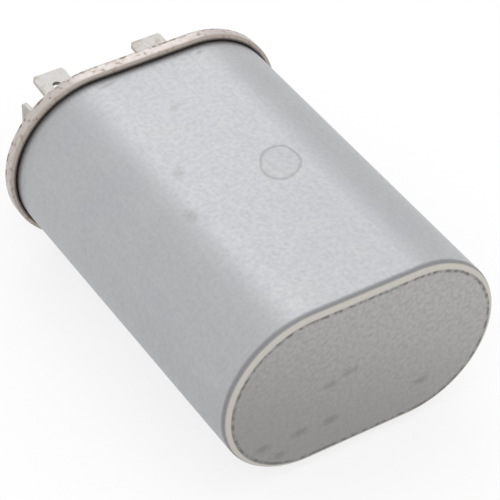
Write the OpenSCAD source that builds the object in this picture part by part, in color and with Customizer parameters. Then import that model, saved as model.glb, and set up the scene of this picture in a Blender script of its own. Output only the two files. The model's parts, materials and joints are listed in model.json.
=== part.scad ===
// Oval motor run capacitor with two four-blade terminals, lying on one flat side.
// X runs along the oval, Y from the base to the terminals, and Z up.
// Each piece is drawn standing on the base, and lie_down() turns it on its side.

/* [Can] */
// Length of the oval, outside the drawn can
can_w = 52.6; // [48:0.1:64]
// Thickness of the can through its flat sides
can_d = 32.7; // [30:0.1:40]
// Height of the case from its base to the top of the seam
case_h = 72.9; // [60:0.1:130]
// Wall of the drawn can
can_wall = 0.4; // [0.3:0.05:0.6]
// Outside radius of the edge round the base
base_r = 1.3; // [0.9:0.1:1.6]

/* [Cover and seam] */
// Sheet of the cover
cover_wall = 0.3; // [0.25:0.05:0.45]
// Height of the double seam
seam_h = 3.1; // [2.8:0.1:4]
// Sealing compound between the can's fold and the cover's
compound_t = 0.11; // [0.08:0.01:0.2]
// Clearance between the folded layers
seam_gap = 0.02; // [0.01:0.01:0.04]
// How far each hook stops short of the fold that it faces
hook_gap = 0.15; // [0.1:0.05:0.3]
// How far the seaming rolls press the can's wall in, over the seam's height
press_in = 0.05; // [0.02:0.01:0.1]
// How far below the seam the pressed band starts
press_drop = 0.3; // [0.1:0.1:1]
// Depth of the cover's panel below the top of the seam
panel_drop = 4; // [3.5:0.1:6]
// Inside radius where the cover's wall turns into its panel
panel_r = 0.6; // [0.4:0.1:1.2]

/* [Blades] */
// Distance between the two terminals
post_spacing = 20.4; // [19:0.1:22]
// Width of a quick-connect blade
blade_w = 6.35; // [4.75:0.05:6.5]
// Thickness of a blade
blade_t = 0.8; // [0.6:0.05:1]
// Inside radius of the bend at a blade's foot
blade_bend_r = 0.6; // [0.4:0.1:0.9]
// How far a blade leans outwards, in degrees
blade_lean = 5; // [0:0.5:7]
// Height of the two blades that face the flat sides, above the seam
tall_tip = 15.4; // [14:0.1:18]
// Height of the two blades that face the round ends, above the seam
short_tip = 13.7; // [12:0.1:16]
// Radius of the corners at a blade's tip
tip_corner_r = 1.1; // [0.5:0.1:2]
// Bevel round the edge of a blade's tip
tip_bevel = 0.2; // [0.1:0.05:0.3]
// Detent hole in a blade
detent_d = 1.7; // [1.4:0.1:2]
// Distance from a blade's tip to its detent hole
detent_drop = 4; // [3.5:0.1:5]
// Side of the square foot that the four blades fold up from
foot_w = 8.6; // [8:0.1:9]

/* [Terminal seals] */
// Height of a blade set's foot above the seam
foot_lift = 4.9; // [4:0.1:6]
// Diameter of the bushing's cup
bushing_d = 16; // [15.4:0.1:17]
// Wall of the cup that stands round the blades
cup_wall = 1.1; // [0.7:0.1:1.3]
// Height of the cup's wall above the foot
cup_h = 1.6; // [1:0.1:2.5]
// Diameter of the bushing's flange
flange_d = 17.6; // [17:0.1:18.5]
// Thickness of the bushing's flange
flange_t = 2.2; // [1.8:0.1:3]
// Diameter of the spigot that passes through the cover
spigot_d = 8; // [7:0.1:9]
// Length of the spigot below the cover
spigot_l = 1; // [0.8:0.1:1.5]
// Diameter of the rubber seal
seal_d = 13; // [12:0.1:14]
// Thickness of the rubber seal when it is squeezed
seal_t = 1.1; // [0.8:0.1:1.4]
// Diameter of the washer under the cover
washer_d = 13; // [12:0.1:15]
// Thickness of the washer under the cover
washer_t = 2.1; // [1.8:0.1:2.6]

/* [Rivets and lugs] */
// Diameter of a rivet's shank
rivet_d = 3.2; // [2.8:0.1:3.6]
// Diameter of a rivet's head
rivet_head_d = 6.2; // [5.4:0.1:6.6]
// Height of a rivet's head
rivet_head_h = 1.2; // [0.8:0.1:1.6]
// Diameter of a rivet's upset end
upset_d = 5; // [4.6:0.1:5.6]
// Height of a rivet's upset end
upset_h = 0.8; // [0.6:0.1:1.2]
// Diameter of a solder lug's ring
lug_d = 6.6; // [6.2:0.1:8]
// Sheet of a solder lug
lug_t = 0.5; // [0.4:0.05:0.8]
// Width of a solder lug's tail
lug_tail_w = 3.6; // [3:0.1:5]
// Reach of a solder lug's tail from the rivet
lug_tail_l = 8.6; // [7:0.1:10]

/* [Inside] */
// Wall and floor of the insulating tray in the base
tray_wall = 0.6; // [0.4:0.1:0.8]
// Height of the tray's wall
tray_h = 9; // [5:0.5:14]
// Insulating sleeve wrapped round the winding
sleeve_wall = 0.4; // [0.3:0.1:0.6]
// Metal sprayed on each end of the winding
spray_t = 0.8; // [0.5:0.1:1.2]
// Width of a lead strip
lead_w = 4; // [3:0.1:5]
// Thickness of a lead strip
lead_t = 0.2; // [0.15:0.05:0.3]
// How far past its lug the short lead turns down
lead_bend = 2; // [1:0.1:3]
// Room between the winding and its sleeve, where the long lead runs
lead_room = 0.35; // [0.35:0.05:0.6]
// Insulating plate over the winding
top_plate_t = 1; // [0.8:0.1:1.5]
// Free space between the cover's panel and the insulating plate
head_room = 7; // [6:0.1:12]
// Thickness of the slit where the winding's mandrel was drawn out
slit_t = 0.6; // [0.4:0.1:1]
// Loose clearance between the inner pieces
fit_gap = 0.15; // [0.1:0.05:0.2]
// Clearance of a bore over the rivet or spigot in it
bore_gap = 0.15; // [0.05:0.05:0.3]
// Room round a lead strip in the insulating plate
slot_gap = 0.5; // [0.3:0.1:0.8]

/* [Hidden] */
$fn = 96;

// The oval is two half circles joined by straights.
can_r = can_d / 2;
straight = can_w / 2 - can_r;
post_x = post_spacing / 2;

// The double seam, measured outwards from the can's outside face.
hook_slot = cover_wall + 2 * seam_gap;
fold_in_r = hook_slot / 2;
fold_out_r = fold_in_r + can_wall;
arch_in_r = fold_out_r + compound_t;
arch_out_r = arch_in_r + cover_wall;
seam_in = hook_slot + can_wall + compound_t;
seam_out = seam_in + cover_wall;
curl_in_r = (seam_in - seam_gap - cover_wall) / 2;
curl_out_r = curl_in_r + cover_wall;
chuck_out = -can_wall - compound_t;
arch_z = case_h - arch_out_r;
curl_z = case_h - seam_h + curl_out_r;
press_z = case_h - seam_h - press_drop;
panel_z = case_h - panel_drop;
panel_bottom = panel_z - cover_wall;
film_skin = 0.01;

// The terminals.
foot_z = case_h + foot_lift;
bend_x = foot_w / 2;
bend_z = blade_t + blade_bend_r;
foot_corner = 0.1;
flange_edge = 0.6;
cup_edge = 0.4;
rivet_bore = rivet_d + bore_gap;
spigot_bore = spigot_d + bore_gap;
seal_pocket_r = (seal_d + bore_gap) / 2;
washer_z = panel_bottom - washer_t;
lug_z = washer_z - lug_t;

// The inner pieces, from the can's floor upwards.
tray_reach = can_r - can_wall - fit_gap;
tray_corner_r = base_r - can_wall;
tray_top = can_wall + tray_wall;
sleeve_reach = tray_reach - tray_wall - fit_gap;
sleeve_z = max(base_r, tray_top) + fit_gap;
wind_reach = sleeve_reach - sleeve_wall - lead_room;
base_spray_z = tray_top + lead_t;
wind_z = base_spray_z + spray_t;
top_plate_z = panel_bottom - head_room - top_plate_t;
top_spray_z = top_plate_z - fit_gap - lead_t - spray_t;

// The leads run where the oval is flat, and each lug's tail is turned to meet its lead.
tail_l = lug_tail_l - lug_tail_w / 2;
lead_x = min(post_x, straight - lead_w / 2);
lug_turn = asin((post_x - lead_x) / tail_l);
tail_end_y = tail_l * cos(lug_turn);
lead_start_y = tail_end_y - lug_tail_w / 2;
short_lead_y = tail_end_y + lug_tail_w / 2 + lead_bend;
long_lead_y = wind_reach + lead_room / 2;

// How far a cut runs past the face that it opens.
past = 1;

// The whole object, lying down.
overall_h = case_h + tall_tip;
overall_d = can_d + 2 * seam_out;

module lie_down() {
    translate([0, -overall_h / 2, overall_d / 2])
        rotate([-90, 0, 0])
            children();
}

// A flat oval whose edge lies at one distance from the line between its two centres.
module oval(reach) {
    for (side = [-1, 1])
        translate([side * straight, 0])
            circle(r = reach);
    square([2 * straight, 2 * reach], center = true);
}

// An oval plate between two heights.
module oval_plate(reach, bottom, top) {
    translate([0, 0, bottom])
        linear_extrude(height = top - bottom)
            oval(reach);
}

// Carries a section round the can, with the section's x measured from the can's outside face.
module round_the_can() {
    for (turn = [0, 180])
        rotate([0, 0, turn]) {
            translate([straight, 0, 0])
                rotate([0, 0, -90])
                    rotate_extrude(angle = 180)
                        translate([can_r, 0])
                            children();
            rotate([90, 0, 90])
                linear_extrude(height = 2 * straight, center = true)
                    translate([can_r, 0])
                        children();
        }
}

// Part of a flat ring, from one angle over a sweep of up to 180 degrees.
module ring_part(inner, outer, start, sweep) {
    corners = [for (step = [0:2]) let (a = start + step * sweep / 2) 2 * outer * [cos(a), sin(a)]];
    intersection() {
        difference() {
            circle(r = outer);
            circle(r = inner);
        }
        polygon(concat([[0, 0]], corners));
    }
}

// An upright stretch of sheet between two heights.
module sheet_wall(x, wall, bottom, top) {
    translate([x, bottom])
        square([wall, top - bottom]);
}

// A thin strip along a bent line, with a round corner at each bend.
module ribbon(points, thick) {
    for (i = [1:len(points) - 1]) {
        run = points[i] - points[i - 1];
        translate(points[i - 1])
            rotate(atan2(run[1], run[0]))
                translate([0, -thick / 2])
                    square([norm(run), thick]);
    }
    for (i = [1:len(points) - 2])
        translate(points[i])
            circle(d = thick);
}

module at_post(side) {
    translate([side * post_x, 0, 0])
        children();
}

// The drawn can: floor, wall, the band that the rolls press in, and the hook turned out and down.
module can_section() {
    translate([-base_r, base_r])
        ring_part(base_r - can_wall, base_r, -90, 90);
    sheet_wall(-can_wall, can_wall, base_r, press_z);
    sheet_wall(-can_wall, can_wall - press_in, press_z, arch_z);
    translate([fold_in_r, arch_z])
        ring_part(fold_in_r, fold_out_r, 0, 180);
    sheet_wall(hook_slot, can_wall, curl_z + hook_gap, arch_z);
}

module can() {
    color("#b9bfc8")
        union() {
            round_the_can()
                can_section();
            oval_plate(can_r - base_r, 0, can_wall);
        }
}

// The cover: panel, wall, arch over the can's fold, outer wall, and the hook tucked up inside.
module cover_section() {
    corner_out_r = panel_r + cover_wall;
    translate([chuck_out - corner_out_r, panel_z + panel_r])
        ring_part(panel_r, corner_out_r, -90, 90);
    sheet_wall(chuck_out - cover_wall, cover_wall, panel_z + panel_r, arch_z);
    translate([fold_in_r, arch_z])
        ring_part(arch_in_r, arch_out_r, 0, 180);
    sheet_wall(seam_in, cover_wall, curl_z, arch_z);
    translate([seam_in - curl_in_r, curl_z])
        ring_part(curl_in_r, curl_out_r, 180, 180);
    sheet_wall(seam_gap, cover_wall, curl_z, arch_z - hook_gap);
}

module cover() {
    panel_reach = can_r + chuck_out - panel_r - cover_wall;
    color("#b5aa97")
        difference() {
            union() {
                round_the_can()
                    cover_section();
                oval_plate(panel_reach, panel_bottom, panel_z);
            }
            for (side = [-1, 1])
                at_post(side)
                    translate([0, 0, panel_bottom - past])
                        cylinder(d = spigot_bore, h = cover_wall + 2 * past);
        }
}

// The sealing compound: a film over the can's fold and down both sides of it.
module seam_compound() {
    film_t = compound_t - 2 * film_skin;
    color("#6d6252")
        round_the_can() {
            sheet_wall(chuck_out + film_skin, film_t, curl_z, arch_z);
            translate([fold_in_r, arch_z])
                ring_part(fold_out_r + film_skin, arch_in_r - film_skin, 0, 180);
            sheet_wall(seam_in - compound_t + film_skin, film_t, curl_z + hook_gap, arch_z);
        }
}

// A blade seen from its edge: the bend at its foot and the leaning leg with its bevelled tip.
module blade_edge(leg) {
    outline = [
        [0, 0], [blade_t, 0], [blade_t, leg - tip_bevel], [blade_t - tip_bevel, leg],
        [tip_bevel, leg], [0, leg - tip_bevel]
    ];
    ring_part(blade_bend_r, blade_bend_r + blade_t, -90, 90 - blade_lean);
    rotate(-blade_lean)
        translate([blade_bend_r, 0])
            polygon(outline);
}

// What is cut from a blade, seen from its face with the tip at zero: two corners and the detent.
module tip_cuts() {
    for (side = [0, 1])
        mirror([0, side])
            difference() {
                translate([-tip_corner_r, blade_w / 2 - tip_corner_r])
                    square(2 * tip_corner_r);
                translate([-tip_corner_r, blade_w / 2 - tip_corner_r])
                    circle(r = tip_corner_r);
            }
    translate([-detent_drop, 0])
        circle(d = detent_d);
}

// One blade, folded up from the foot's edge and leaning away from the post.
module blade(tip_h) {
    leg = (tip_h - bend_z + (blade_bend_r + tip_bevel) * sin(blade_lean)) / cos(blade_lean);
    translate([bend_x, 0, bend_z])
        difference() {
            rotate([90, 0, 0])
                linear_extrude(height = blade_w, center = true)
                    blade_edge(leg);
            rotate([0, blade_lean, 0])
                translate([blade_bend_r + blade_t / 2, 0, leg])
                    rotate([0, -90, 0])
                        linear_extrude(height = 2 * blade_t, center = true)
                            tip_cuts();
        }
}

// The terminal's four blades and their square foot, stamped from one sheet.
module blades(side) {
    tips = [short_tip, tall_tip];
    color("#c6c3ba")
        at_post(side)
            translate([0, 0, foot_z])
                difference() {
                    union() {
                        linear_extrude(height = blade_t)
                            intersection() {
                                square(foot_w, center = true);
                                circle(r = norm([bend_x, blade_w / 2]) + foot_corner);
                            }
                        for (quarter = [0:3])
                            rotate([0, 0, 90 * quarter])
                                blade(tips[quarter % 2] - foot_lift);
                    }
                    translate([0, 0, -past])
                        cylinder(d = rivet_bore, h = blade_t + 2 * past);
                }
}

// Half the section of a turned collar whose upper outer edge is rounded.
module collar(r, bottom, top, edge) {
    translate([0, bottom])
        square([r - edge, top - bottom]);
    translate([0, bottom])
        square([r, top - bottom - edge]);
    translate([r - edge, top - edge])
        circle(r = edge);
}

// A hole down the middle of a turned section.
module bore(r, bottom, top) {
    translate([-r, bottom])
        square([2 * r, top - bottom]);
}

// The moulded bushing: a flange over the seal, a cup round the blades' foot, and a spigot below.
module bushing(side) {
    spigot_end = panel_bottom - spigot_l;
    cup_top = foot_z + cup_h;
    color("#3b312b")
        at_post(side)
            rotate_extrude()
                difference() {
                    union() {
                        collar(flange_d / 2, panel_z, panel_z + flange_t, flange_edge);
                        collar(bushing_d / 2, panel_z, cup_top, cup_edge);
                        translate([0, spigot_end])
                            square([spigot_d / 2, panel_z - spigot_end]);
                    }
                    bore(bushing_d / 2 - cup_wall, foot_z, cup_top + past);
                    bore(rivet_bore / 2, spigot_end - past, cup_top);
                    translate([spigot_d / 2, panel_z - past])
                        square([seal_pocket_r - spigot_d / 2, seal_t + past]);
                }
}

// The rubber seal, squeezed in the flange's pocket.
module seal(side) {
    color("#26262a")
        at_post(side)
            translate([0, 0, panel_z])
                difference() {
                    cylinder(d = seal_d, h = seal_t);
                    translate([0, 0, -past])
                        cylinder(d = spigot_bore, h = seal_t + 2 * past);
                }
}

// The insulating washer under the cover, with a seat for the bushing's spigot.
module washer(side) {
    color("#d8d2c0")
        at_post(side)
            translate([0, 0, panel_bottom])
                mirror([0, 0, 1])
                    rotate_extrude()
                        difference() {
                            collar(washer_d / 2, 0, washer_t, cup_edge);
                            bore(spigot_bore / 2, -past, spigot_l + bore_gap);
                            bore(rivet_bore / 2, -past, washer_t + past);
                        }
}

// Half the section of a low dome that stands on z = 0.
module dome(r, h) {
    ball_r = (r * r + h * h) / (2 * h);
    intersection() {
        translate([0, h - ball_r])
            circle(r = ball_r);
        square([r, h]);
    }
}

// The two rivets, each with a domed head over the foot and an upset end under the lug.
module rivets() {
    color("#bdb7a8")
        for (side = [-1, 1])
            at_post(side)
                rotate_extrude() {
                    translate([0, foot_z + blade_t])
                        dome(rivet_head_d / 2, rivet_head_h);
                    translate([0, lug_z])
                        square([rivet_d / 2, foot_z + blade_t - lug_z]);
                    translate([0, lug_z])
                        mirror([0, 1])
                            dome(upset_d / 2, upset_h);
                }
}

// The solder lug on each rivet: a ring with a tail for the lead strip.
module lug(side) {
    color("#c9b487")
        at_post(side)
            translate([0, 0, lug_z])
                rotate([0, 0, side * lug_turn])
                    linear_extrude(height = lug_t)
                        difference() {
                            union() {
                                circle(d = lug_d);
                                translate([-lug_tail_w / 2, 0])
                                    square([lug_tail_w, tail_l]);
                                translate([0, tail_l])
                                    circle(d = lug_tail_w);
                            }
                            circle(d = rivet_bore);
                        }
}

// A lead strip under its lug's tail, bent along a line of points in Y and Z.
module lead(side, points) {
    color("#c7c9cb")
        translate([side * lead_x, 0, 0])
            rotate([90, 0, 90])
                linear_extrude(height = lead_w, center = true)
                    ribbon(points, lead_t);
}

// The short lead runs from its lug to the spray on the winding's upper end.
module left_lead() {
    under_lug = lug_z - lead_t / 2;
    on_spray = top_spray_z + spray_t + lead_t / 2;
    lead(-1, [
        [lead_start_y, under_lug], [short_lead_y, under_lug],
        [short_lead_y, on_spray], [lead_start_y, on_spray]
    ]);
}

// The long lead runs down beside the winding to the spray on its lower end.
module right_lead() {
    under_lug = lug_z - lead_t / 2;
    under_spray = base_spray_z - lead_t / 2;
    lead(1, [
        [lead_start_y, under_lug], [long_lead_y, under_lug],
        [long_lead_y, under_spray], [lead_start_y, under_spray]
    ]);
}

// The wound film, flattened to an oval, with the slit that its mandrel left.
module winding() {
    color("#d9d6cc")
        difference() {
            oval_plate(wind_reach, wind_z, top_spray_z);
            oval_plate(slit_t / 2, wind_z - past, top_spray_z + past);
        }
}

module base_spray() {
    color("#8f9396")
        oval_plate(wind_reach, base_spray_z, wind_z);
}

module top_spray() {
    color("#8f9396")
        oval_plate(wind_reach, top_spray_z, top_spray_z + spray_t);
}

// The insulating sleeve wrapped round the winding and its long lead.
module sleeve() {
    color("#e6e2d3")
        difference() {
            oval_plate(sleeve_reach, sleeve_z, top_plate_z);
            oval_plate(sleeve_reach - sleeve_wall, sleeve_z - past, top_plate_z + past);
        }
}

// The insulating tray that keeps the winding off the can's floor and its lower wall.
module tray_section() {
    outer = -can_wall - fit_gap;
    translate([outer - tray_corner_r, can_wall + tray_corner_r])
        ring_part(max(tray_corner_r - tray_wall, 0.1), tray_corner_r, -90, 90);
    sheet_wall(outer - tray_wall, tray_wall, can_wall + tray_corner_r, can_wall + tray_h);
}

module base_tray() {
    color("#efece2")
        union() {
            round_the_can()
                tray_section();
            oval_plate(tray_reach - tray_corner_r, can_wall, tray_top);
        }
}

// The insulating plate over the winding, with a slot for one lead and a notch for the other.
module top_plate() {
    slot_w = lead_w + 2 * slot_gap;
    slot_l = lead_t + 2 * slot_gap;
    color("#c2a87c")
        difference() {
            oval_plate(sleeve_reach, top_plate_z, top_plate_z + top_plate_t);
            translate([-lead_x, short_lead_y, top_plate_z])
                cube([slot_w, slot_l, 3 * top_plate_t], center = true);
            translate([lead_x, long_lead_y, top_plate_z])
                cube([slot_w, slot_l, 3 * top_plate_t], center = true);
        }
}

lie_down() {
    can();
    cover();
    seam_compound();
    blades(-1);  // left_blades
    blades(1);  // right_blades
    bushing(-1);  // left_bushing
    bushing(1);  // right_bushing
    seal(-1);  // left_seal
    seal(1);  // right_seal
    washer(-1);  // left_washer
    washer(1);  // right_washer
    rivets();
    lug(-1);  // left_lug
    lug(1);  // right_lug
    left_lead();
    right_lead();
    winding();
    base_spray();
    top_spray();
    sleeve();
    base_tray();
    top_plate();
}
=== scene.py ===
# %% [markdown]
# # A motor run capacitor
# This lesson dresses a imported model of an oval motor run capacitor: an aluminium can that is
# drawn from one sheet, a tinplate cover that is seamed onto it, and two terminals of four blades.
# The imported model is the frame. Its pieces have their true place and size in metres, so every
# finish made here is placed by them and needs no fitting. Its surfaces are exact and smooth, so
# they stay, and each gets a finish through its own slot. Skinning them again would add nothing.

# %% Load the frame
import math

import bpy
import numpy as np
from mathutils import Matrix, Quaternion, Vector
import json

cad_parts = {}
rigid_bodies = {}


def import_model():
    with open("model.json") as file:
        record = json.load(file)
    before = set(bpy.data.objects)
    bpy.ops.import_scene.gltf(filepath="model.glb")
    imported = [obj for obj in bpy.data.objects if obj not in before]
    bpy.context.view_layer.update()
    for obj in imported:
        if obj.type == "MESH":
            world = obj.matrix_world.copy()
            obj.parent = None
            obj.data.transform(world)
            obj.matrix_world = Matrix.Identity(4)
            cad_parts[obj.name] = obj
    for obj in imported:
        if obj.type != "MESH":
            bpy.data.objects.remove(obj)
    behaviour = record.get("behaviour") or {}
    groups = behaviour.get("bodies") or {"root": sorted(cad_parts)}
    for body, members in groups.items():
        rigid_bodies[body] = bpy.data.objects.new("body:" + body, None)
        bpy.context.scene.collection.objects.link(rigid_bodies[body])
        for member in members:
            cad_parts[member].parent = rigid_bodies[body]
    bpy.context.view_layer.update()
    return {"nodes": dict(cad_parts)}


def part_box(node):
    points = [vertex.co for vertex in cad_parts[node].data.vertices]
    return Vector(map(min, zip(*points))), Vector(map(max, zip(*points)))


for leftover in list(bpy.data.objects):
    bpy.data.objects.remove(leftover)
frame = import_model()
MM = 0.001

# %% [markdown]
# ## The camera
# The capacitor lies on one flat side, and the view looks down over its base. A long lens far
# away keeps the can's edges nearly parallel, as a catalogue view does. The camera is placed by
# the point it looks at, a distance and three angles, because these can be changed one at a time.
# A matrix of nine numbers would do the same and say nothing to a reader.

# %% Place the camera
LOOK_AT = Vector((-0.5, -10.2, 17.5)) * MM
AWAY = 422.4 * MM
HEADING, DOWNWARD, ROLL = (math.radians(angle) for angle in (32.75, 41.51, 1.10))
LENS, SENSOR = 177.9, 36

forward = Vector((
    math.sin(HEADING) * math.cos(DOWNWARD),
    math.cos(HEADING) * math.cos(DOWNWARD),
    -math.sin(DOWNWARD),
))
lens = bpy.data.cameras.new("camera")
lens.lens, lens.sensor_width = LENS, SENSOR
lens.clip_start, lens.clip_end = 0.01, 20
camera = bpy.data.objects.new("camera", lens)
camera.location = LOOK_AT - AWAY * forward
camera.rotation_mode = "QUATERNION"
camera.rotation_quaternion = forward.to_track_quat("-Z", "Y") @ Quaternion((0, 0, 1), ROLL)
bpy.context.scene.collection.objects.link(camera)
bpy.context.scene.camera = camera
bpy.context.scene.view_settings.view_transform = "Standard"
print("camera, mm:", [round(value / MM, 1) for value in camera.location])

# %% [markdown]
# ## Building a finish
# A finish is a small tree of nodes that says how the metal or moulding looks at each point. The
# same few steps come back in every one: a noise, a soft threshold, a mark at a known place. They
# are gathered in one class, which works in millimetres of the object's own space, so that a
# grain of 0.2 is a grain of 0.2 mm on every piece.


# %% The finish class
class Finish:
    """One material under construction. Its coordinates are the object's own, in millimetres."""

    def __init__(self, name, colour, metallic=0.0, roughness=0.5):
        self.material = bpy.data.materials.new(name)
        self.material.use_nodes = True
        self.nodes = self.material.node_tree.nodes
        self.links = self.material.node_tree.links
        self.surface = self.nodes["Principled BSDF"]
        self.set("Base Color", (*colour, 1))
        self.set("Metallic", metallic)
        self.set("Roughness", roughness)
        place = self.nodes.new("ShaderNodeTexCoord").outputs["Object"]
        self.place = self.vector("SCALE", place, Scale=1 / MM)
        axes = self.nodes.new("ShaderNodeSeparateXYZ")
        self.links.new(self.place, axes.inputs[0])
        self.x, self.y, self.z = axes.outputs

    def set(self, socket, value):
        """Sets a socket of the shader: a number or colour directly, another node's output by a link."""
        self.join(value, self.surface.inputs[socket])

    def join(self, value, socket):
        """The same for the socket of any node. None leaves the socket as it is."""
        if isinstance(value, bpy.types.NodeSocket):
            self.links.new(value, socket)
        elif value is not None:
            socket.default_value = value

    def vector(self, operation, first, second=None, **named):
        """One step of vector arithmetic. The length of a vector is a number, the rest are vectors."""
        node = self.nodes.new("ShaderNodeVectorMath")
        node.operation = operation
        self.join(first, node.inputs[0])
        self.join(second, node.inputs[1])
        for socket, value in named.items():
            self.join(value, node.inputs[socket])
        return node.outputs["Value" if operation == "LENGTH" else "Vector"]

    def math(self, operation, first, second=None, clamp=False):
        """One step of arithmetic on numbers."""
        node = self.nodes.new("ShaderNodeMath")
        node.operation, node.use_clamp = operation, clamp
        self.join(first, node.inputs[0])
        self.join(second, node.inputs[1])
        return node.outputs[0]

    def product(self, *factors):
        """The product of any number of values."""
        result = factors[0]
        for factor in factors[1:]:
            result = self.math("MULTIPLY", result, factor)
        return result

    def total(self, *terms):
        """The sum of any number of values."""
        total = terms[0]
        for term in terms[1:]:
            total = self.math("ADD", total, term)
        return total

    def noise(self, per_mm, detail=2.0, stretch=(1, 1, 1), seed=0.0, rough=0.5):
        """Cloudy noise from 0 to 1 with about per_mm blobs a millimetre. A stretch under 1 on an
        axis draws the blobs out along it."""
        spread = self.nodes.new("ShaderNodeMapping")
        self.links.new(self.place, spread.inputs["Vector"])
        spread.inputs["Scale"].default_value = stretch
        spread.inputs["Location"].default_value = (seed, 0.7 * seed, -0.4 * seed)
        node = self.nodes.new("ShaderNodeTexNoise")
        self.links.new(spread.outputs[0], node.inputs["Vector"])
        node.inputs["Scale"].default_value = per_mm
        node.inputs["Detail"].default_value = detail
        node.inputs["Roughness"].default_value = rough
        return node.outputs["Fac"]

    def fade(self, value, start, end, low=0.0, high=1.0):
        """Low before start, high after end, and a smooth step between them."""
        node = self.nodes.new("ShaderNodeMapRange")
        node.interpolation_type = "SMOOTHSTEP"
        self.join(value, node.inputs["Value"])
        ends = {"From Min": start, "From Max": end, "To Min": low, "To Max": high}
        for socket, number in ends.items():
            node.inputs[socket].default_value = number
        return node.outputs["Result"]

    def blend(self, amount, first, second):
        """The first colour where amount is 0, the second where it is 1."""
        node = self.nodes.new("ShaderNodeMix")
        node.data_type = "RGBA"
        self.join(amount, node.inputs["Factor"])
        for socket, colour in ((node.inputs[6], first), (node.inputs[7], second)):
            self.join((*colour, 1) if isinstance(colour, tuple) else colour, socket)
        return node.outputs[2]

    def spot(self, centre, reach, turn=0.0, soft=0.5, ragged=0.0, per_mm=0.5, seed=0.0):
        """A mark round a point: 1 inside the ellipsoid with these half axes, 0 outside, and a soft edge
        between. Ragged moves the edge in and out with a noise. The turn is in degrees round Z."""
        spread = self.nodes.new("ShaderNodeMapping")
        spread.vector_type = "TEXTURE"
        self.links.new(self.place, spread.inputs["Vector"])
        spread.inputs["Location"].default_value = centre
        spread.inputs["Rotation"].default_value = (0, 0, math.radians(turn))
        spread.inputs["Scale"].default_value = reach
        far = self.vector("LENGTH", spread.outputs[0])
        if ragged:
            push = self.math("SUBTRACT", self.noise(per_mm, 3, seed=seed), 0.5)
            far = self.total(far, self.product(push, 2 * ragged))
        return self.fade(far, 1.0, 1.0 - soft)

    def bump(self, height, strength=1.0):
        """Raises the surface in the shading by a height in millimetres."""
        node = self.nodes.new("ShaderNodeBump")
        node.inputs["Distance"].default_value = MM
        node.inputs["Strength"].default_value = strength
        self.join(height, node.inputs["Height"])
        self.links.new(node.outputs[0], self.surface.inputs["Normal"])


def dress(finish, *nodes):
    """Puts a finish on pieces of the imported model, which keep their shape and place."""
    for name in nodes:
        frame["nodes"][name].material_slots[0].material = finish.material
    print(finish.material.name, "on", ", ".join(nodes))


# %% [markdown]
# ## The can's form
# The marks are placed by the can's own form: its flat sides, its round ends and the rounded edge
# of its base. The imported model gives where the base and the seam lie. The width and depth of the
# oval are written once here, because the can's box takes in the hook of its seam, which is wider
# than the wall.

# %% The oval and where it lies
CAN_WIDE, CAN_DEEP, BASE_R, SEAM_TALL = 52.6, 32.7, 1.3, 3.1
END_R = CAN_DEEP / 2
HALF_STRAIGHT = CAN_WIDE / 2 - END_R
can_low, can_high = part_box("can")
BASE_Y = can_low[1] / MM
MIDDLE_Z = (can_low[2] + can_high[2]) / 2 / MM
FLAT_Z = MIDDLE_Z + END_R
SEAM_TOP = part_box("cover")[1][1] / MM
SEAM_FOOT = SEAM_TOP - SEAM_TALL
print(f"base at Y {BASE_Y:.2f}, seam from Y {SEAM_FOOT:.2f} to {SEAM_TOP:.2f}, flat side at Z {FLAT_Z:.2f}")

# %% [markdown]
# ## The drawn aluminium
# The can is drawn from one sheet, so its skin carries faint lines along the draw and a soft
# mottle from the wash that follows. A metal shows what it reflects, so its own colour is the
# share of light that it gives back. A painted texture would need an image. Noise in three tones
# needs none and never repeats.

# %% The can's side
aluminium = Finish("drawn_aluminium", (0.47, 0.475, 0.49), metallic=1.0, roughness=0.45)
lines = aluminium.noise(3.0, 3, stretch=(1, 0.03, 1))
clouds = aluminium.noise(0.11, 3, seed=3)
mottle = aluminium.noise(1.3, 5, seed=8)
side = aluminium.blend(clouds, (0.445, 0.455, 0.475), (0.495, 0.495, 0.502))
side = aluminium.blend(aluminium.fade(mottle, 0.3, 0.75, 0.0, 0.35), side, (0.40, 0.41, 0.43))
side = aluminium.blend(aluminium.fade(lines, 0.45, 0.8, 0.0, 0.22), side, (0.56, 0.56, 0.57))

# %% [markdown]
# ## Handling marks
# Two scuffs lie near the seam and three smudges further down the side. Each is a soft ellipsoid
# with a ragged rim, which darkens the metal by its own depth. Decals would need pieces of their
# own.

# %% Scuffs and smudges
SOIL = (0.12, 0.115, 0.105)
# Each mark: its centre, its half axes, its turn in degrees and how dark it is.
MARKS = (
    ((9.8, 23.7, FLAT_Z), (1.0, 0.6, 3), 10, 0.30),
    ((-8.7, 23.7, FLAT_Z), (2.6, 0.7, 3), 5, 0.24),
    ((-1.8, 12.4, FLAT_Z), (2.2, 1.2, 3), 30, 0.14),
    ((-10.6, -3.3, FLAT_Z), (2.4, 1.4, 3), 60, 0.16),
    ((-13.9, -12.9, 33.0), (1.8, 2.6, 3), 0, 0.16),
)
for number, (centre, reach, turn, depth) in enumerate(MARKS):
    mark = aluminium.spot(centre, reach, turn, soft=0.8, ragged=0.5, per_mm=0.9, seed=number)
    side = aluminium.blend(aluminium.product(mark, depth), side, SOIL)
print(len(MARKS), "handling marks")
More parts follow.
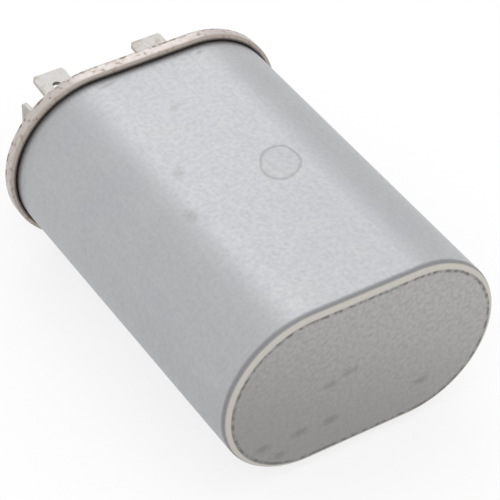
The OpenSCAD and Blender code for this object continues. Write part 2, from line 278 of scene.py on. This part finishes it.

# %% [markdown]
# ## A dried ring and painted shade under the seam
# A drop that dried on the flat side left a thin closed line, with a faint film inside it. The
# line is what is left when a spot with a wide soft edge is taken from the same spot with a narrow
# one, so both follow the same uneven rim. Just below the seam the can is pressed in a little, and
# a dark band there is painted shade from the seam, which keeps the light off it.

# %% The ring and the painted shade under the seam
ring_place = ((5.6, -9.6, FLAT_Z), (4.9, 3.7, 8), 57)
ring_rim = {"ragged": 0.12, "per_mm": 0.25, "seed": 4}
film = aluminium.spot(*ring_place, soft=0.1, **ring_rim)
inside = aluminium.spot(*ring_place, soft=0.24, **ring_rim)
ring = aluminium.math("SUBTRACT", film, inside, clamp=True)
side = aluminium.blend(aluminium.product(film, 0.06), side, (0.2, 0.2, 0.2))
side = aluminium.blend(aluminium.product(ring, 0.5), side, (0.16, 0.16, 0.16))
# A dark band just below the seam: painted shade from the seam.
painted_seam_shade = aluminium.fade(aluminium.y, SEAM_FOOT - 1.75, SEAM_FOOT - 0.35, 0.0, 0.5)
side = aluminium.blend(painted_seam_shade, side, (0.2, 0.2, 0.205))

# %% [markdown]
# ## The base
# The base stood on benches, so it is duller than the side, with a stronger mottle and a few dull
# patches. Its colour is painted lighter towards its upper right and darker towards its lower left,
# as painted light and shade from a room that is brighter on that side. The slope is painted into
# the colour, because a lamp for the base alone would also light the side.

# %% The can's base
GRIME_REACH = (2.3, 2, 1.2)
# Where each patch lies, along X and Z.
GRIME = ((-6.4, 16.9), (-2.6, 17.9), (-12, 8.9), (-6.1, 8.6), (-19.3, 8.7), (-15.7, 5.6), (11.9, 8.7))
height = aluminium.math("SUBTRACT", aluminium.z, MIDDLE_Z)
# Painted light and shade: the base is lighter towards its upper right and darker towards its lower left.
painted_light_slope = aluminium.total(aluminium.product(aluminium.x, 0.02), aluminium.product(height, 0.05))
base = aluminium.blend(aluminium.fade(painted_light_slope, -0.9, 0.9), (0.345, 0.34, 0.335), (0.475, 0.47, 0.465))
base = aluminium.blend(aluminium.fade(mottle, 0.35, 0.7, 0.0, 0.4), base, (0.33, 0.325, 0.315))
for number, (x, z) in enumerate(GRIME):
    centre = (x, BASE_Y, z)
    mark = aluminium.spot(centre, GRIME_REACH, soft=0.9, ragged=0.6, per_mm=0.7, seed=20 + number)
    base = aluminium.blend(aluminium.product(mark, 0.35), base, (0.17, 0.155, 0.13))
print(len(GRIME), "dull patches on the base")

# %% [markdown]
# ## The rounded edge
# The edge of the base has a painted highlight in a pale band, with a broken line of painted shade
# where the flat starts and painted shade in the fold on the wall's side. Both lines follow the
# oval, so they need its radius: a point's distance from the middle line that joins the centres of
# the two round ends. Distance from one centre would give circles.

# %% The base's edge
FLAT_R = END_R - BASE_R
past = aluminium.math("SUBTRACT", aluminium.math("ABSOLUTE", aluminium.x), HALF_STRAIGHT)
past = aluminium.math("MAXIMUM", past, 0)
square = aluminium.total(aluminium.product(past, past), aluminium.product(height, height))
radius = aluminium.math("SQRT", square)
broken = aluminium.fade(aluminium.noise(0.8, 3, seed=31), 0.4, 0.6, 0.15, 0.75)
rim_in = aluminium.fade(radius, FLAT_R - 0.55, FLAT_R - 0.15)
rim_out = aluminium.fade(radius, FLAT_R + 0.05, FLAT_R + 0.35, 1.0, 0.0)
# The broken dark line where the flat starts is painted shade at the step.
base = aluminium.blend(aluminium.product(rim_in, rim_out, broken), base, (0.14, 0.13, 0.115))
# The pale band round the rounded edge is a painted highlight.
painted_edge_highlight = aluminium.fade(radius, FLAT_R + 0.15, FLAT_R + 0.4)
base = aluminium.blend(painted_edge_highlight, base, (0.60, 0.575, 0.53))
on_base = aluminium.fade(aluminium.y, BASE_Y + 0.75, BASE_Y + 0.55)
turned = aluminium.fade(aluminium.y, BASE_Y + 1.75, BASE_Y + 1.0)
# Painted shade in the fold between the wall and the base's rounded edge.
painted_fold_shade = aluminium.product(turned, aluminium.fade(aluminium.y, BASE_Y + 0.35, BASE_Y + 0.7))

# %% [markdown]
# ## The whole can
# The side and the base are one piece of metal, so they are one finish, and the base takes over
# round its edge. Two materials on one piece would need a cut in its mesh.

# %% Join the side and the base
skin = aluminium.blend(on_base, side, base)
# The fold on the wall's side of the base edge is darkened: painted shade.
skin = aluminium.blend(aluminium.product(painted_fold_shade, 0.62), skin, (0.16, 0.16, 0.165))
aluminium.set("Base Color", skin)
wash = aluminium.fade(mottle, 0.2, 0.8, 0.40, 0.50)
aluminium.set("Roughness", aluminium.total(wash, aluminium.product(on_base, 0.06)))
grain = aluminium.total(aluminium.product(mottle, 0.012), aluminium.product(lines, 0.006))
aluminium.bump(aluminium.total(grain, aluminium.product(clouds, 0.03)), 0.6)
dress(aluminium, "can")

# %% [markdown]
# ## The tinplate cover
# The cover is tinned steel. The rolls of the seamer leave fine rings, the low part of the seam is
# darkened with painted shade where it rolls under, and flux and damp leave brown specks along its
# upper edge. The rings follow the seam because their noise is stretched in the two directions that
# run round it.

# %% The cover's finish
tinplate = Finish("tinplate", (0.5, 0.46, 0.43), metallic=1.0, roughness=0.34)
rings = tinplate.noise(0.9, 3, stretch=(0.05, 6, 0.05))
speckle = tinplate.noise(1.1, 4, seed=5)
tin = tinplate.blend(rings, (0.50, 0.445, 0.42), (0.60, 0.55, 0.53))
# The darker low part of the seam is painted shade where the seam rolls under.
painted_underside_shade = tinplate.fade(tinplate.y, SEAM_FOOT + 0.1, SEAM_FOOT + 1.0, 0.55, 0.0)
tin = tinplate.blend(painted_underside_shade, tin, (0.27, 0.235, 0.185))
tin = tinplate.blend(tinplate.fade(speckle, 0.56, 0.72, 0.0, 0.6), tin, (0.24, 0.17, 0.10))
at_top = tinplate.fade(tinplate.y, SEAM_TOP - 1.3, SEAM_TOP - 0.7)
flux = tinplate.product(at_top, tinplate.fade(speckle, 0.46, 0.6, 0.0, 0.7))
tinplate.set("Base Color", tinplate.blend(flux, tin, (0.13, 0.09, 0.055)))
tinplate.set("Roughness", tinplate.fade(speckle, 0.3, 0.7, 0.28, 0.48))
relief = tinplate.total(tinplate.product(rings, 0.03), tinplate.product(speckle, 0.01))
tinplate.bump(relief, 0.7)
dress(tinplate, "cover")

# %% [markdown]
# ## The other metals and mouldings
# Each remaining piece gets the same three things at its own scale: two tones that a noise mixes,
# stains where a second noise is high, and a roughness and a fine relief from the first. One
# function does it, so a new piece needs only its colours.


# %% Two tones and a stain
def two_tone(name, first, second, stain, *nodes, metallic=0.0, rough=(0.3, 0.45), per_mm=1.2,
             stretch=(1, 1, 1), relief=0.015, stained=0.5):
    """A finish that a noise mixes from two tones, with stains of a third and relief in millimetres."""
    finish = Finish(name, first, metallic=metallic)
    grain = finish.noise(per_mm, 4, stretch=stretch)
    cloud = finish.noise(0.45, 4, seed=6)
    tone = finish.blend(finish.fade(grain, 0.3, 0.7), first, second)
    finish.set("Base Color", finish.blend(finish.fade(cloud, 0.54, 0.72, 0.0, stained), tone, stain))
    finish.set("Roughness", finish.fade(grain, 0.2, 0.8, *rough))
    finish.bump(finish.product(grain, relief), 0.8)
    dress(finish, *nodes)


# %% [markdown]
# ## The terminals and the seals
# The blades are tinned brass that has gone brown in places. The bushings are dark moulded
# plastic on black rubber seals, and the rivets are plated steel. The film that seals the seam
# lies between its folds, out of sight, and is dressed for the same reason as the inner pieces.

# %% The terminals' finishes
two_tone("seam_compound", (0.12, 0.1, 0.08), (0.17, 0.145, 0.115), (0.07, 0.06, 0.05),
         "seam_compound", rough=(0.5, 0.7))
two_tone("tinned_brass", (0.44, 0.425, 0.405), (0.53, 0.515, 0.5), (0.30, 0.225, 0.15),
         "left_blades", "right_blades", metallic=1.0, rough=(0.34, 0.48), per_mm=1.6, stretch=(1, 0.3, 1))
two_tone("moulded_bushing", (0.05, 0.035, 0.027), (0.075, 0.052, 0.04), (0.1, 0.085, 0.07),
         "left_bushing", "right_bushing", rough=(0.4, 0.55), per_mm=2.0)
two_tone("seal_rubber", (0.02, 0.02, 0.022), (0.032, 0.032, 0.034), (0.05, 0.05, 0.05),
         "left_seal", "right_seal", rough=(0.65, 0.8))
two_tone("rivet_steel", (0.45, 0.43, 0.39), (0.56, 0.54, 0.5), (0.26, 0.18, 0.11),
         "rivets", metallic=1.0, per_mm=2.0)

# %% [markdown]
# ## What the can holds
# The inner pieces are dressed too, because the model can be taken apart: brass lugs, tinned
# strips, a roll of clear film with a rough sprayed metal end, and pale wraps and a fibre board.

# %% The inner pieces' finishes
two_tone("moulded_washer", (0.62, 0.58, 0.48), (0.68, 0.64, 0.55), (0.5, 0.44, 0.33),
         "left_washer", "right_washer", rough=(0.45, 0.6))
two_tone("lug_brass", (0.58, 0.46, 0.25), (0.66, 0.54, 0.32), (0.38, 0.26, 0.12),
         "left_lug", "right_lug", metallic=1.0)
two_tone("lead_strip", (0.56, 0.56, 0.56), (0.66, 0.66, 0.66), (0.44, 0.43, 0.41),
         "left_lead", "right_lead", metallic=1.0, stretch=(1, 0.1, 1))
two_tone("wound_film", (0.6, 0.575, 0.51), (0.7, 0.68, 0.62), (0.52, 0.48, 0.4),
         "winding", rough=(0.22, 0.34), stretch=(1, 0.05, 1), stained=0.25)
two_tone("end_spray", (0.26, 0.27, 0.28), (0.38, 0.39, 0.4), (0.22, 0.22, 0.22),
         "base_spray", "top_spray", metallic=0.7, rough=(0.6, 0.8), per_mm=3.5, relief=0.08)
two_tone("insulating_wrap", (0.72, 0.69, 0.6), (0.79, 0.76, 0.68), (0.62, 0.57, 0.46),
         "sleeve", "base_tray", rough=(0.42, 0.56), stained=0.3)
two_tone("pressboard", (0.44, 0.33, 0.19), (0.56, 0.43, 0.26), (0.36, 0.26, 0.14),
         "top_plate", rough=(0.7, 0.9), stretch=(0.3, 1, 1), relief=0.05)

# %% [markdown]
# ## The surround
# A catalogue view has a white surround. Metal mirrors it, so the surround is pure white to the
# camera and to mirrored rays, and a little dimmer as a source of light, so that the piece isn't
# washed out. A closed room of white walls would do the same and take longer to render.


# %% The world
def backdrop_rays(nodes, links):
    """1 for the rays that see the backdrop itself: from the camera, off metal or through glass."""
    path = nodes.new("ShaderNodeLightPath")
    total = path.outputs["Is Camera Ray"]
    for kind in ("Is Glossy Ray", "Is Transmission Ray"):
        node = nodes.new("ShaderNodeMath")
        node.operation = "MAXIMUM"
        links.new(total, node.inputs[0])
        links.new(path.outputs[kind], node.inputs[1])
        total = node.outputs[0]
    return total


SURROUND_LIGHT = 0.8
world = bpy.data.worlds.new("studio")
bpy.context.scene.world = world
world.use_nodes = True
nodes, links = world.node_tree.nodes, world.node_tree.links
nodes.clear()
plain, white = nodes.new("ShaderNodeBackground"), nodes.new("ShaderNodeBackground")
plain.inputs["Color"].default_value = (*[SURROUND_LIGHT] * 3, 1)
white.inputs["Color"].default_value = (1, 1, 1, 1)
mix, out = nodes.new("ShaderNodeMixShader"), nodes.new("ShaderNodeOutputWorld")
links.new(backdrop_rays(nodes, links), mix.inputs[0])
links.new(plain.outputs[0], mix.inputs[1])
links.new(white.outputs[0], mix.inputs[2])
links.new(mix.outputs[0], out.inputs["Surface"])

# %% [markdown]
# ## The floor
# The capacitor lies on pale paper. Seen directly, the paper glows a little and takes only part of
# its tone from the light, so it nearly meets the white surround and still keeps a soft shadow
# under the piece. It stays plain paper for the light that bounces off it.

# %% The paper
FLOOR_HALF, PAPER_TONE, SEEN_TONE, SEEN_GLOW = 1.5, 0.75, 0.3, 0.75
corners = np.array([(-1, -1, 0), (1, -1, 0), (1, 1, 0), (-1, 1, 0)]) * FLOOR_HALF
floor_mesh = bpy.data.meshes.new("floor")
floor_mesh.from_pydata(corners.tolist(), [], [(0, 1, 2, 3)])
floor = bpy.data.objects.new("floor", floor_mesh)
bpy.context.scene.collection.objects.link(floor)
paper = bpy.data.materials.new("pale_paper")
paper.use_nodes = True
nodes, links = paper.node_tree.nodes, paper.node_tree.links
nodes.clear()
pale, seen, glow = (nodes.new(f"ShaderNode{kind}") for kind in ("BsdfDiffuse", "BsdfDiffuse", "Emission"))
pale.inputs["Color"].default_value = (*[PAPER_TONE] * 3, 1)
seen.inputs["Color"].default_value = (*[SEEN_TONE] * 3, 1)
glow.inputs["Strength"].default_value = SEEN_GLOW
lifted, mix = nodes.new("ShaderNodeAddShader"), nodes.new("ShaderNodeMixShader")
out = nodes.new("ShaderNodeOutputMaterial")
links.new(seen.outputs[0], lifted.inputs[0])
links.new(glow.outputs[0], lifted.inputs[1])
links.new(backdrop_rays(nodes, links), mix.inputs[0])
links.new(pale.outputs[0], mix.inputs[1])
links.new(lifted.outputs[0], mix.inputs[2])
links.new(mix.outputs[0], out.inputs["Surface"])
floor_mesh.materials.append(paper)
print("floor:", 2 * FLOOR_HALF, "m across")

# %% [markdown]
# ## The lamp
# One soft lamp stands behind the terminals, where the flat side mirrors it towards the camera.
# It makes the flat side the brightest part, and the light falls off round both ends. A lamp near
# the camera would light the base instead.


# %% The lamp
def soft_lamp(name, place, width, height, power, aim=(0, 0, 15)):
    """A rectangular lamp of this width and height, in millimetres, that faces the point it aims at."""
    light = bpy.data.lights.new(name, "AREA")
    light.shape, light.energy = "RECTANGLE", power
    light.size, light.size_y = width * MM, height * MM
    lamp = bpy.data.objects.new(name, light)
    lamp.location = Vector(place) * MM
    lamp.rotation_mode = "QUATERNION"
    lamp.rotation_quaternion = (Vector(aim) - Vector(place)).to_track_quat("-Z", "Y")
    bpy.context.scene.collection.objects.link(lamp)
    print(f"{name}: {width} x {height} mm, {power} W")


soft_lamp("key_lamp", (252, 567, 648), 420, 900, 0.85)
